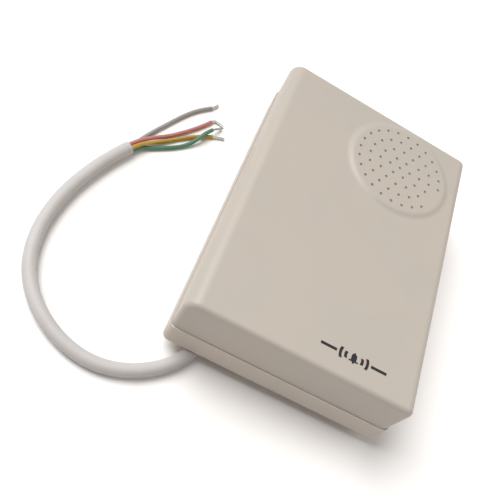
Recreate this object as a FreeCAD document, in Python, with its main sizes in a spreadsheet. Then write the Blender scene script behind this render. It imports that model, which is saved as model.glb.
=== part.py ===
import FreeCAD, Part
import math
import os
import re

import Sketcher
from FreeCAD import Placement, Rotation, Vector

# Wired door chime: a flat box that lies on its back, +Z out of its front face,
# +Y along its long side, +X to the right, in millimetres. The origin is the
# middle of the plane of its stand-off rim, which rests on the wall.

SIZES = {
    # case
    "body_width": 85.0,
    "body_length": 125.0,
    "body_depth": 28.5,
    "base_height": 10.5,
    "case_wall": 2.2,
    "floor_thickness": 2.0,
    "left_edge_radius": 5.0,
    "right_edge_radius": 3.2,
    "end_edge_radius": 2.0,
    "inner_corner_radius": 1.0,
    "back_edge_radius": 0.8,
    "seam_gap": 0.1,
    "seam_lip": 0.5,
    "tongue_height": 1.6,
    "tongue_thickness": 0.8,
    "tongue_clearance": 0.2,
    # rim round the back that stands the case off the wall
    "standoff_height": 5.5,
    "standoff_inset": 7.0,
    "standoff_wall": 2.0,
    "standoff_radius": 3.0,
    # holes that take the wall screws, at opposite corners
    "fixing_inset": 16.5,
    "fixing_end_inset": 16.5,
    "fixing_hole_radius": 2.25,
    "fixing_boss_radius": 4.5,
    # pegs that hold the cover
    "peg_inset_x": 6.2,
    "peg_inset_y": 6.2,
    "peg_radius": 1.5,
    "peg_clearance": 0.08,
    "peg_depth": 6.0,
    "socket_wall": 1.6,
    "socket_height": 12.0,
    # grille
    "grille_inset": 29.4,
    "grille_end_inset": 25.7,
    "grille_pitch": 4.58,
    "grille_hole_radius": 0.65,
    "boss_height": 0.9,
    "boss_top_radius": 20.2,
    "boss_foot_radius": 23.8,
    # printed mark
    "mark_inset": 26.8,
    "mark_end_inset": 9.8,
    "mark_width": 25.2,
    "mark_height": 4.0,
    "mark_line": 1.0,
    "mark_thickness": 0.12,
    # loudspeaker
    "cover_clearance": 0.3,
    "gasket_thickness": 2.0,
    "gasket_width": 2.2,
    "basket_radius": 20.0,
    "basket_sheet": 0.8,
    "rim_width": 2.5,
    "basket_foot_radius": 9.8,
    "basket_foot_width": 1.8,
    "basket_depth": 7.2,
    "basket_window": 8.0,
    "ear_width": 6.0,
    "ear_reach": 4.2,
    "top_plate_radius": 9.0,
    "top_plate_thickness": 2.0,
    "magnet_radius": 10.0,
    "magnet_bore_radius": 5.5,
    "magnet_height": 4.0,
    "yoke_radius": 9.0,
    "yoke_thickness": 2.0,
    "pole_radius": 3.9,
    "coil_gap": 0.3,
    "former_wall": 0.2,
    "winding_wall": 0.22,
    "winding_height": 2.8,
    "former_reach": 2.5,
    "former_height": 5.8,
    "cone_sheet": 0.5,
    "surround_roll": 1.5,
    "surround_sheet": 0.35,
    "spider_sheet": 0.4,
    "spider_roll": 0.6,
    "glue_gap": 0.05,
    "dust_cap_radius": 5.6,
    "dust_cap_height": 2.4,
    "tag_board_width": 9.0,
    "tag_board_reach": 6.0,
    "tag_radius": 1.1,
    "tag_spacing": 5.0,
    "tag_thickness": 0.5,
    "speaker_post_radius": 3.0,
    # circuit board
    "board_inset": 6.0,
    "board_gap": 1.9,
    "board_width": 46.0,
    "board_length": 43.0,
    "board_thickness": 1.6,
    "board_post_height": 5.0,
    "board_post_radius": 2.8,
    "board_screw_inset": 3.5,
    "joint_height": 0.6,
    # self-tapping screws
    "screw_radius": 1.1,
    "screw_clearance": 0.3,
    "screw_length": 7.0,
    "screw_head_radius": 2.1,
    "screw_head_height": 1.5,
    "cross_length": 2.4,
    "cross_width": 0.5,
    "cross_depth": 0.8,
    # wire terminals
    "terminal_dx": -18.0,
    "terminal_inset": 17.0,
    "terminal_pitch": 5.0,
    "terminal_width": 8.0,
    "terminal_height": 10.0,
    "terminal_entry_radius": 1.4,
    "terminal_entry_height": 3.2,
    "terminal_entry_depth": 5.0,
    "terminal_well_radius": 2.0,
    "terminal_well_depth": 4.5,
    "terminal_screw_radius": 1.9,
    "terminal_screw_height": 2.5,
    # parts on the board, from its middle
    "chip_dx": 3.0,
    "chip_dy": -1.5,
    "chip_length": 9.8,
    "chip_width": 6.4,
    "chip_height": 3.3,
    "chip_lift": 0.6,
    "chip_pitch": 2.54,
    "leg_width": 0.5,
    "leg_spread": 7.6,
    "trimmer_dx": 16.5,
    "trimmer_inset": 11.0,
    "trimmer_width": 9.5,
    "trimmer_height": 4.8,
    "rotor_radius": 3.2,
    "rotor_gap": 0.06,
    "rotor_depth": 2.2,
    "rotor_rise": 0.6,
    "large_can_dx": 17.0,
    "large_can_dy": -2.5,
    "large_can_radius": 4.0,
    "large_can_height": 12.0,
    "small_can_dx": -9.0,
    "small_can_dy": -14.5,
    "small_can_radius": 3.15,
    "small_can_height": 11.0,
    "can_edge": 0.5,
    "transistor_dx": -7.0,
    "transistor_dy": 13.5,
    "transistor_radius": 2.4,
    "transistor_height": 4.8,
    "transistor_lift": 3.0,
    "resistor_dx": 0.3,
    "resistor_dy": -10.0,
    "resistor_step": 3.4,
    "resistor_radius": 1.15,
    "resistor_length": 6.3,
    "resistor_reach": 5.0,
    "resistor_lift": 1.5,
    "wire_radius": 0.3,
    "disc_dx": 1.0,
    "disc_dy": 9.5,
    "disc_step": 7.0,
    "disc_radius": 2.8,
    "disc_thickness": 2.2,
    "disc_lift": 3.4,
    "diode_dx": 11.5,
    "diode_dy": -16.0,
    "diode_radius": 1.0,
    "diode_length": 4.2,
    # cable and its clamp
    "cable_radius": 2.5,
    "cable_lane_inset": 16.0,
    "cable_slot_width": 6.0,
    "cable_slot_start": -46.8,
    "cable_slot_end": -31.8,
    "cable_way_inset": 14.5,
    "cable_way_width": 9.0,
    "clamp_y": -30.0,
    "clamp_length": 16.0,
    "clamp_width": 6.0,
    "clamp_thickness": 2.0,
    "clamp_spacing": 11.0,
    "clamp_post_radius": 2.5,
    "clamp_clearance": 0.1,
    "core_radius": 0.8,
    "tip_radius": 0.5,
    "lead_radius": 0.6,
    "lead_pad_dx": -14.0,
    "lead_pad_dy": 18.5,
    "lead_pad_spacing": 4.0,
}

# Heights and radii that several pieces share.
FLOOR = "(standoff_height + floor_thickness)"
SEAM = "(standoff_height + base_height)"
FRONT = "(standoff_height + body_depth)"
CEILING = f"({FRONT} - case_wall)"
COVER_WIDTH = "(body_width - 2 * seam_lip)"
COVER_LENGTH = "(body_length - 2 * seam_lip)"
RIM = f"({CEILING} - cover_clearance - gasket_thickness - basket_sheet)"
RIM_TOP = f"({RIM} + basket_sheet)"
BASKET_FOOT = f"({RIM} - basket_depth)"
BASKET_LEDGE = f"({BASKET_FOOT} + basket_sheet)"
MAGNET_TOP = f"({BASKET_FOOT} - top_plate_thickness)"
YOKE_TOP = f"({MAGNET_TOP} - magnet_height)"
COIL_RADIUS = "(pole_radius + coil_gap)"
FORMER_RADIUS = f"({COIL_RADIUS} + former_wall)"
WINDING_RADIUS = f"({FORMER_RADIUS} + winding_wall)"
PLATE_BORE = f"({WINDING_RADIUS} + coil_gap)"
FORMER_FOOT = f"({BASKET_FOOT} - former_reach)"
FORMER_TOP = f"({FORMER_FOOT} + former_height)"
SURROUND_OUTER = "(basket_radius - rim_width)"
CONE_EDGE = f"({SURROUND_OUTER} - 2 * surround_roll)"
CONE_NECK = f"({FORMER_TOP} + cone_sheet)"
CONE_SLOPE = f"(({RIM_TOP} - {CONE_NECK}) / ({CONE_EDGE} - 2 * surround_sheet - {FORMER_RADIUS}))"
CAP_SEAT = f"({CONE_NECK} + (dust_cap_radius - {FORMER_RADIUS}) * {CONE_SLOPE} + glue_gap)"
BOARD = f"({FLOOR} + board_post_height)"
BOARD_TOP = f"({BOARD} + board_thickness)"
CLAMP = f"({FLOOR} + 2 * cable_radius + clamp_clearance)"
ROTOR_SEAT = f"({BOARD_TOP} + trimmer_height - rotor_depth)"

# Places that follow from the sizes: each is a cell of the sheet too.
PLACES = {
    "fixing_x": "body_width / 2 - fixing_inset",
    "fixing_y": "body_length / 2 - fixing_end_inset",
    "grille_x": "body_width / 2 - grille_inset",
    "grille_y": "body_length / 2 - grille_end_inset",
    "mark_x": "body_width / 2 - mark_inset",
    "mark_y": "mark_end_inset - body_length / 2",
    "ear_circle": "basket_radius + ear_reach",
    "board_x": "body_width / 2 - board_inset - board_width / 2",
    "board_end": "grille_y - ear_circle - speaker_post_radius - board_gap",
    "board_y": "board_end - board_length / 2",
    "case_left": "-body_width / 2",
    "cable_lane_x": "case_left + cable_lane_inset",
    "cable_way_x": "case_left + cable_way_inset",
    "cable_shelf": f"{FLOOR} + cable_radius",
    "cable_end_y": "clamp_y + clamp_width / 2",
    "board_face": BOARD_TOP,
    "tag_reach": "basket_radius + tag_board_reach - 2 * tag_radius",
    "tag_foot": f"{RIM} - basket_sheet",
}
AT_BOARD_END = ("terminal", "trimmer")
ON_BOARD = ("chip", "large_can", "small_can", "transistor", "resistor", "disc", "diode", "lead_pad")
for part in AT_BOARD_END + ON_BOARD:
    PLACES[part + "_x"] = f"board_x + {part}_dx"
for part in AT_BOARD_END:
    PLACES[part + "_y"] = f"board_end - {part}_inset"
for part in ON_BOARD:
    PLACES[part + "_y"] = f"board_y + {part}_dy"
PLACES["entry_x"] = "terminal_x - terminal_width / 2"
PLACES["entry_z"] = "board_face + terminal_entry_height"

os.makedirs("parts", exist_ok=True)
doc = FreeCAD.newDocument("door_chime")
sheet = doc.addObject("Spreadsheet::Sheet", "sizes")
for row, (alias, number) in enumerate(SIZES.items(), start=1):
    sheet.set(f"A{row}", alias)
    sheet.set(f"B{row}", str(number))
    sheet.setAlias(f"B{row}", alias)
doc.recompute()
for row, (alias, text) in enumerate(PLACES.items(), start=len(SIZES) + 1):
    sheet.set(f"A{row}", alias)
    sheet.set(f"B{row}", "=" + text)
    sheet.setAlias(f"B{row}", alias)
    doc.recompute()

pieces = []


# Helpers that make bound objects

def formula(text):
    """Names of sizes in a formula become cells of the sheet."""
    def cell(word):
        name = word.group()
        return "sizes." + name if name in SIZES or name in PLACES else name
    return re.sub(r"[a-z]\w+", cell, str(text))


def bind(thing, formulas):
    for name, text in formulas.items():
        thing.setExpression(name, formula(text))
    return thing


def place(thing, x=0, y=0, z=0, turn=None):
    if turn is not None:
        thing.Placement = Placement(Vector(), turn)
    return bind(thing, {"Placement.Base.x": x, "Placement.Base.y": y, "Placement.Base.z": z})


def box(label, width, length, height, x=0, y=0, z=0):
    """A block centred on x and y, standing on z."""
    thing = doc.addObject("Part::Box", label)
    bind(thing, {"Length": width, "Width": length, "Height": height})
    return place(thing, f"{x} - ({width}) / 2", f"{y} - ({length}) / 2", z)


def rod(label, radius, height, x=0, y=0, z=0, turn=None):
    thing = doc.addObject("Part::Cylinder", label)
    bind(thing, {"Radius": radius, "Height": height})
    return place(thing, x, y, z, turn)


def taper(label, foot_radius, top_radius, height, x=0, y=0, z=0):
    thing = doc.addObject("Part::Cone", label)
    bind(thing, {"Radius1": foot_radius, "Radius2": top_radius, "Height": height})
    return place(thing, x, y, z)


def join(label, things):
    thing = doc.addObject("Part::MultiFuse", label)
    thing.Shapes = things
    return thing


def group(label, things):
    thing = doc.addObject("Part::Compound", label)
    thing.Links = things
    return thing


def cut(label, base, tools):
    tool = tools[0] if len(tools) == 1 else join(label + "_holes", tools)
    thing = doc.addObject("Part::Cut", label)
    thing.Base = base
    thing.Tool = tool
    return thing


def tube(label, outer, inner, height, x=0, y=0, z=0):
    wall = rod(label + "_wall", outer, height, x, y, z)
    return cut(label, wall, [rod(label + "_bore", inner, height, x, y, z)])


def piece(label, thing):
    thing.Label = label
    pieces.append(thing)
    return thing


def at_speaker(thing):
    """Pieces of the loudspeaker are drawn about its axis and set behind the grille."""
    return bind(thing, {"Placement.Base.x": "grille_x", "Placement.Base.y": "grille_y"})


def origin_plane(body, role):
    return next(item for item in body.Origin.OriginFeatures if item.Role == role)


def sketch_on(body, label, role, level=0):
    sketch = body.newObject("Sketcher::SketchObject", label)
    sketch.AttachmentSupport = (origin_plane(body, role), [""])
    sketch.MapMode = "FlatFace"
    bind(sketch, {"AttachmentOffset.Base.z": level})
    return sketch


def add_rounded_loop(sketch, tag, width, length, radius):
    """A centred rectangle with four equal round corners."""
    start_w, start_l, start_r = 20.0, 30.0, 2.0
    first = sketch.GeometryCount
    corners = [(1, -1), (1, 1), (-1, 1), (-1, -1)]
    for side_x, side_y in corners:
        centre = Vector(side_x * (start_w - start_r), side_y * (start_l - start_r), 0)
        begin = math.atan2(side_y, side_x) - math.pi / 4
        circle = Part.Circle(centre, Vector(0, 0, 1), start_r)
        sketch.addGeometry(Part.ArcOfCircle(circle, begin, begin + math.pi / 2), False)
    for corner in range(4):
        this_arc = sketch.Geometry[first + corner]
        next_arc = sketch.Geometry[first + (corner + 1) % 4]
        sketch.addGeometry(Part.LineSegment(this_arc.EndPoint, next_arc.StartPoint), False)
    for corner in range(4):
        line = first + 4 + corner
        sketch.addConstraint(Sketcher.Constraint("Tangent", first + corner, 2, line, 1))
        sketch.addConstraint(Sketcher.Constraint("Tangent", line, 2, first + (corner + 1) % 4, 1))
        direction = "Vertical" if corner % 2 == 0 else "Horizontal"
        sketch.addConstraint(Sketcher.Constraint(direction, line))
    for corner in range(1, 4):
        sketch.addConstraint(Sketcher.Constraint("Equal", first, first + corner))
    sketch.addConstraint(Sketcher.Constraint("Symmetric", first, 3, first + 2, 3, -1, 1))
    sizes_of_loop = [
        ("width", Sketcher.Constraint("DistanceX", first + 2, 3, first, 3, 2 * (start_w - start_r)),
         f"{width} - 2 * ({radius})"),
        ("length", Sketcher.Constraint("DistanceY", first, 3, first + 1, 3, 2 * (start_l - start_r)),
         f"{length} - 2 * ({radius})"),
        ("radius", Sketcher.Constraint("Radius", first, start_r), radius),
    ]
    for name, constraint, text in sizes_of_loop:
        index = sketch.addConstraint(constraint)
        sketch.renameConstraint(index, tag + "_" + name)
        bind(sketch, {"Constraints." + tag + "_" + name: text})


def pad(body, label, sketch, length):
    feature = body.newObject("PartDesign::Pad", label)
    feature.Profile = sketch
    return bind(feature, {"Length": length})


def edges_where(feature, test):
    doc.recompute()
    return [f"Edge{number}" for number, edge in enumerate(feature.Shape.Edges, start=1) if test(edge)]


def fillet(body, label, feature, radius, test):
    names = edges_where(feature, test)
    rounding = body.newObject("PartDesign::Fillet", label)
    rounding.Base = (feature, names)
    return bind(rounding, {"Radius": radius})


def crowned_block(label, width, length, foot, top, edge_radii, end_radius):
    """A block whose left long edge is well rounded, its right one less and its two ends least."""
    body = doc.addObject("PartDesign::Body", label)
    sketch = sketch_on(body, label + "_profile", "XZ_Plane")
    half, low, high, start_r = 20.0, 10.0, 30.0, 3.0
    points = [Vector(-half, low), Vector(half, low), Vector(half, high - start_r),
              Vector(half - start_r, high), Vector(start_r - half, high), Vector(-half, high - start_r)]
    lines = [(0, 1), (1, 2), (3, 4), (5, 0)]
    for begin, end in lines:
        sketch.addGeometry(Part.LineSegment(points[begin], points[end]), False)
    for side, begin in ((1, 0), (-1, math.pi / 2)):
        circle = Part.Circle(Vector(side * (half - start_r), high - start_r), Vector(0, 0, 1), start_r)
        sketch.addGeometry(Part.ArcOfCircle(circle, begin, begin + math.pi / 2), False)
    constraints = [("Coincident", 0, 2, 1, 1), ("Tangent", 1, 2, 4, 1), ("Tangent", 4, 2, 2, 1),
                   ("Tangent", 2, 2, 5, 1), ("Tangent", 5, 2, 3, 1), ("Coincident", 3, 2, 0, 1),
                   ("Vertical", 1), ("Horizontal", 2), ("Vertical", 3),
                   ("Symmetric", 0, 1, 0, 2, -2)]
    for values in constraints:
        sketch.addConstraint(Sketcher.Constraint(*values))
    driven = [("width", Sketcher.Constraint("DistanceX", 0, 1, 0, 2, 2 * half), width),
              ("foot", Sketcher.Constraint("DistanceY", -1, 1, 0, 1, low), foot),
              ("top", Sketcher.Constraint("DistanceY", -1, 1, 2, 1, high), top),
              ("left_edge", Sketcher.Constraint("Radius", 5, start_r), edge_radii[0]),
              ("right_edge", Sketcher.Constraint("Radius", 4, start_r), edge_radii[1])]
    for name, constraint, text in driven:
        index = sketch.addConstraint(constraint)
        sketch.renameConstraint(index, name)
        bind(sketch, {"Constraints." + name: text})
    block = pad(body, label + "_pad", sketch, length)
    block.SideType = "Symmetric"

    def on_end(edge):
        box_of_block = block.Shape.BoundBox
        flat = edge.BoundBox.YLength < 1e-3
        return flat and edge.CenterOfMass.z > box_of_block.ZMin + 1e-3

    fillet(body, label + "_ends", block, end_radius, on_end)
    return body


def rounded_block(label, width, length, radius, height, level):
    body = doc.addObject("PartDesign::Body", label)
    sketch = sketch_on(body, label + "_outline", "XY_Plane", level)
    add_rounded_loop(sketch, "outline", width, length, radius)
    pad(body, label + "_pad", sketch, height)
    return body


def swept_boss(label, top_radius, foot_radius, low, foot, top):
    """A round boss with an S-shaped edge: two equal arcs, one at its top and one at its foot."""
    body = doc.addObject("PartDesign::Body", label)
    sketch = sketch_on(body, label + "_profile", "XZ_Plane")
    bend = 4.25
    angle = math.radians(28.07)
    corners = [Vector(0, 32), Vector(0, 34), Vector(20, 34), Vector(24, 33), Vector(24, 32)]
    for begin, end in ((0, 1), (1, 2), (3, 4), (4, 0)):
        sketch.addGeometry(Part.LineSegment(corners[begin], corners[end]), False)
    for centre, finish in ((Vector(20, 34 - bend), math.pi / 2), (Vector(24, 33 + bend), 1.5 * math.pi)):
        circle = Part.Circle(centre, Vector(0, 0, 1), bend)
        sketch.addGeometry(Part.ArcOfCircle(circle, finish - angle, finish), False)
    constraints = [("Coincident", 0, 2, 1, 1), ("Tangent", 1, 2, 4, 2), ("Tangent", 4, 1, 5, 1),
                   ("Perpendicular", 5, 2, 2, 1), ("Coincident", 2, 2, 3, 1), ("Coincident", 3, 2, 0, 1),
                   ("Vertical", 0), ("Horizontal", 1), ("Vertical", 2), ("Horizontal", 3),
                   ("PointOnObject", 0, 1, -2), ("Equal", 4, 5)]
    for values in constraints:
        sketch.addConstraint(Sketcher.Constraint(*values))
    driven = [("low", Sketcher.Constraint("DistanceY", -1, 1, 0, 1, 32), low),
              ("top", Sketcher.Constraint("DistanceY", -1, 1, 0, 2, 34), top),
              ("foot", Sketcher.Constraint("DistanceY", -1, 1, 2, 1, 33), foot),
              ("top_radius", Sketcher.Constraint("DistanceX", -1, 1, 1, 2, 20), top_radius),
              ("foot_radius", Sketcher.Constraint("DistanceX", -1, 1, 2, 1, 24), foot_radius)]
    for name, constraint, text in driven:
        index = sketch.addConstraint(constraint)
        sketch.renameConstraint(index, name)
        bind(sketch, {"Constraints." + name: text})
    return turn_about_axis(body, label, sketch)


def turn_about_axis(body, label, sketch):
    feature = body.newObject("PartDesign::Revolution", label + "_turned")
    feature.Profile = sketch
    feature.ReferenceAxis = (sketch, ["V_Axis"])
    feature.Angle = 360
    return body


def revolved(label, points):
    """A turned piece: the profile is given as radius and height formulas, closed by its last line."""
    body = doc.addObject("PartDesign::Body", label)
    sketch = sketch_on(body, label + "_profile", "XZ_Plane")
    count = len(points)
    for number in range(count):
        angle = 2 * math.pi * number / count
        after = 2 * math.pi * (number + 1) / count
        begin = Vector(15 - 4 * math.cos(angle), 25 - 4 * math.sin(angle))
        end = Vector(15 - 4 * math.cos(after), 25 - 4 * math.sin(after))
        sketch.addGeometry(Part.LineSegment(begin, end), False)
    for number in range(count):
        sketch.addConstraint(Sketcher.Constraint("Coincident", number, 2, (number + 1) % count, 1))
    for number, (radius, height) in enumerate(points):
        for name, kind, text in (("radius", "DistanceX", radius), ("height", "DistanceY", height)):
            index = sketch.addConstraint(Sketcher.Constraint(kind, -1, 1, number, 1, 10.0))
            sketch.renameConstraint(index, f"{name}_{number}")
            bind(sketch, {f"Constraints.{name}_{number}": text})
    return turn_about_axis(body, label, sketch)


# Rear base

def make_rear_base():
    body = doc.addObject("PartDesign::Body", "base_shell")
    outline = sketch_on(body, "base_outline", "XY_Plane", "standoff_height")
    add_rounded_loop(outline, "outline", "body_width", "body_length", "end_edge_radius + seam_lip")
    block = pad(body, "base_block", outline, "base_height")

    def on_back(edge):
        return edge.BoundBox.ZMax < SIZES["standoff_height"] + 1e-3

    fillet(body, "back_edge", block, "back_edge_radius", on_back)
    hollow = sketch_on(body, "base_hollow", "XY_Plane", SEAM)
    add_rounded_loop(hollow, "hollow", "body_width - 2 * case_wall", "body_length - 2 * case_wall",
                     "inner_corner_radius")
    pocket = body.newObject("PartDesign::Pocket", "base_pocket")
    pocket.Profile = hollow
    bind(pocket, {"Length": "base_height - floor_thickness"})

    tongue = sketch_on(body, "tongue_outline", "XY_Plane", SEAM)
    add_rounded_loop(tongue, "outer", "body_width - 2 * case_wall + 2 * tongue_thickness",
                     "body_length - 2 * case_wall + 2 * tongue_thickness",
                     "inner_corner_radius + tongue_thickness")
    add_rounded_loop(tongue, "inner", "body_width - 2 * case_wall", "body_length - 2 * case_wall",
                     "inner_corner_radius")
    pad(body, "tongue", tongue, "tongue_height")

    rim = sketch_on(body, "standoff_outline", "XY_Plane")
    add_rounded_loop(rim, "outer", "body_width - 2 * standoff_inset", "body_length - 2 * standoff_inset",
                     "standoff_radius")
    add_rounded_loop(rim, "inner", "body_width - 2 * standoff_inset - 2 * standoff_wall",
                     "body_length - 2 * standoff_inset - 2 * standoff_wall",
                     "standoff_radius - standoff_wall / 2")
    pad(body, "standoff", rim, "standoff_height + floor_thickness / 2")

    solids = [body]
    holes = []
    for side in (-1, 1):
        x, y = f"({-side} * fixing_x)", f"({side} * fixing_y)"
        solids.append(rod(f"fixing_boss_{side + 1}", "fixing_boss_radius", FLOOR, x, y))
        holes.append(rod(f"fixing_hole_{side + 1}", "fixing_hole_radius", f"{FLOOR} + 2", x, y, "-1"))
    for number, (x, y) in enumerate(peg_places()):
        solids.append(rod(f"socket_{number}", "peg_radius + socket_wall",
                          "socket_height + floor_thickness / 2", x, y, f"{FLOOR} - floor_thickness / 2"))
        holes.append(rod(f"socket_bore_{number}", "peg_radius + peg_clearance", "peg_depth + 2",
                         x, y, f"{FLOOR} + socket_height - peg_depth - 1"))
    for number, (x, y) in enumerate(speaker_post_places()):
        solids.append(rod(f"speaker_post_{number}", "speaker_post_radius",
                          f"{RIM} - {FLOOR} + floor_thickness / 2", x, y, f"{FLOOR} - floor_thickness / 2"))
        holes.append(pilot(f"speaker_pilot_{number}", x, y, RIM, "basket_sheet"))
    for number, (x, y) in enumerate(board_post_places()):
        solids.append(rod(f"board_post_{number}", "board_post_radius",
                          "board_post_height + floor_thickness / 2", x, y, f"{FLOOR} - floor_thickness / 2"))
        holes.append(pilot(f"board_pilot_{number}", x, y, BOARD, "board_thickness"))
    for number, x in enumerate(clamp_post_places()):
        solids.append(rod(f"clamp_post_{number}", "clamp_post_radius",
                          f"{CLAMP} - {FLOOR} + floor_thickness / 2", x, "clamp_y",
                          f"{FLOOR} - floor_thickness / 2"))
        holes.append(pilot(f"clamp_pilot_{number}", x, "clamp_y", CLAMP, "clamp_thickness"))
    slot_length = "(cable_slot_end - cable_slot_start)"
    slot_middle = "(cable_slot_end + cable_slot_start) / 2"
    slot = rounded_block("cable_slot", "cable_slot_width", slot_length, "cable_slot_width / 2 - 0.01",
                         "2 * floor_thickness", f"{FLOOR} - 1.5 * floor_thickness")
    place(slot, "cable_lane_x", slot_middle)
    holes.append(slot)
    holes.append(box("cable_way", "cable_way_width", "3 * standoff_wall", "standoff_height",
                     "cable_way_x", "standoff_inset + standoff_wall / 2 - body_length / 2"))
    piece("rear_base", cut("rear_base", join("base_solid", solids), holes))


def peg_places():
    return [(f"({side_x} * (body_width / 2 - peg_inset_x))", f"({side_y} * (body_length / 2 - peg_inset_y))")
            for side_x in (-1, 1) for side_y in (-1, 1)]


SPEAKER_EARS = (30, 150, 270)


def speaker_post_places():
    return [(f"(grille_x + ear_circle * {math.cos(math.radians(angle)):.6f})",
             f"(grille_y + ear_circle * {math.sin(math.radians(angle)):.6f})") for angle in SPEAKER_EARS]


def board_post_places():
    return [(f"(board_x + {side_x} * (board_width / 2 - board_screw_inset))",
             f"(board_y + {side_y} * (board_length / 2 - board_screw_inset))")
            for side_x in (-1, 1) for side_y in (-1, 1)]


def clamp_post_places():
    return [f"(cable_lane_x + {side} * clamp_spacing / 2)" for side in (-1, 1)]


# Self-tapping screws

def pilot(label, x, y, seat, sheet_thickness):
    """The blind hole that a self-tapping screw sits in, under the sheet that it holds."""
    reach = f"(screw_length - {sheet_thickness})"
    return rod(label, "screw_radius", f"{reach} + 1", x, y, f"{seat} - {reach}")


def screw(label, x, y, seat):
    """A pan-head screw with a cross recess, its head on the sheet at height seat."""
    shank = rod(label + "_shank", "screw_radius", "screw_length + screw_head_height / 2",
                x, y, f"{seat} - screw_length")
    head = rod(label + "_head", "screw_head_radius", "screw_head_height / 2", x, y, seat)
    crown = taper(label + "_crown", "screw_head_radius", "0.7 * screw_head_radius",
                  "screw_head_height / 2", x, y, f"{seat} + screw_head_height / 2")
    depth = f"{seat} + screw_head_height - cross_depth"
    bars = [box(f"{label}_bar_{number}", width, length, "2 * cross_depth", x, y, depth)
            for number, (width, length) in enumerate((("cross_length", "cross_width"),
                                                      ("cross_width", "cross_length")))]
    return cut(label, join(label + "_solid", [shank, head, crown]), bars)


# Front cover

def make_front_cover():
    outer = crowned_block("cover_outer", COVER_WIDTH, COVER_LENGTH, f"{SEAM} + seam_gap", FRONT,
                          ("left_edge_radius", "right_edge_radius"), "end_edge_radius")
    cavity = crowned_block("cover_cavity", f"{COVER_WIDTH} - 2 * case_wall",
                           f"{COVER_LENGTH} - 2 * case_wall", f"{SEAM} - 1", CEILING,
                           ("left_edge_radius - case_wall", "right_edge_radius - case_wall"),
                           "inner_corner_radius")
    rebate = rounded_block("cover_rebate",
                           "body_width - 2 * case_wall + 2 * tongue_thickness + 2 * tongue_clearance",
                           "body_length - 2 * case_wall + 2 * tongue_thickness + 2 * tongue_clearance",
                           "inner_corner_radius + tongue_thickness + tongue_clearance",
                           "tongue_height + seam_gap + 1", f"{SEAM} - 1")
    boss = swept_boss("grille_boss", "boss_top_radius", "boss_foot_radius", f"{FRONT} - case_wall / 2",
                      FRONT, f"{FRONT} + boss_height")
    at_speaker(boss)
    shell = cut("cover_shell", join("cover_front", [outer, boss]), [cavity, rebate])

    peg_foot = f"{FLOOR} + socket_height - peg_depth"
    pegs = join("peg_rods", [rod(f"peg_{number}", "peg_radius", f"{FRONT} - ({peg_foot})", x, y, peg_foot)
                             for number, (x, y) in enumerate(peg_places())])
    collar = f"({CEILING} - {RIM_TOP} - cover_clearance)"
    ring = tube("locating_ring", "basket_radius + cover_clearance + 1.2",
                "basket_radius + cover_clearance", f"{collar} + case_wall / 2",
                "grille_x", "grille_y", f"{CEILING} - {collar}")
    low_outer = crowned_block("cover_reach", COVER_WIDTH, COVER_LENGTH, FLOOR, FRONT,
                              ("left_edge_radius", "right_edge_radius"), "end_edge_radius")
    trimmed = doc.addObject("Part::MultiCommon", "inner_ribs")
    trimmed.Shapes = [low_outer, join("rib_rods", [pegs, ring])]
    solid = join("cover_solid", [shell, trimmed])
    holes = [rod("grille_hole_0", "grille_hole_radius", "2 * (case_wall + boss_height)",
                 "grille_x", "grille_y", f"{CEILING} - case_wall / 2")]
    for ring_number in range(1, 5):
        for step in range(6 * ring_number):
            angle = 60.0 * step / ring_number
            if ring_number == 4 and angle in (330.0, 345.0):
                continue
            along = ring_number * math.cos(math.radians(angle))
            across = ring_number * math.sin(math.radians(angle))
            holes.append(rod(f"grille_hole_{ring_number}_{step}", "grille_hole_radius",
                             "2 * (case_wall + boss_height)", f"grille_x + grille_pitch * {along:.6f}",
                             f"grille_y + grille_pitch * {across:.6f}", f"{CEILING} - case_wall / 2"))
    piece("front_cover", cut("front_cover", solid, holes))


def make_front_mark():
    """A plain printed mark: a bell between sound waves and two bars, where the front has print."""
    half_line = "mark_line / 2"
    bell = "(mark_height / 2)"
    dome = rod("mark_dome", f"0.5 * {bell}", "mark_thickness", 0, f"0.3 * {bell}", 0)
    skirt = box("mark_skirt", bell, f"0.9 * {bell}", "mark_thickness", 0, f"-0.15 * {bell}", 0)
    brim = box("mark_brim", f"1.7 * {bell}", f"0.24 * {bell}", "mark_thickness", 0, f"-0.62 * {bell}", 0)
    clapper = rod("mark_clapper", f"0.2 * {bell}", "mark_thickness", 0, f"-0.86 * {bell}", 0)
    handle = rod("mark_handle", f"0.14 * {bell}", "mark_thickness", 0, f"0.86 * {bell}", 0)
    solids = [join("mark_bell", [dome, skirt, brim, clapper, handle])]
    for number in range(2):
        radius = f"(mark_height * {0.8 + 0.5 * number:.2f})"
        wave = tube(f"mark_wave_{number}", f"{radius} + {half_line}", f"{radius} - {half_line}",
                    "mark_thickness")
        sides = box(f"mark_sides_{number}", f"4 * {radius}", f"mark_height * {0.6 + 0.4 * number:.2f}",
                    "mark_thickness")
        arcs = doc.addObject("Part::MultiCommon", f"mark_arcs_{number}")
        arcs.Shapes = [wave, sides]
        solids.append(arcs)
    bar = "(mark_width / 2 - 1.65 * mark_height)"
    for side in (-1, 1):
        solids.append(box(f"mark_bar_{side + 1}", bar, "mark_line", "mark_thickness",
                          f"{side} * (mark_width / 2 - {bar} / 2)"))
    mark = piece("front_mark", group("front_mark", solids))
    place(mark, "mark_x", "mark_y", FRONT)


# Loudspeaker

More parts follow.
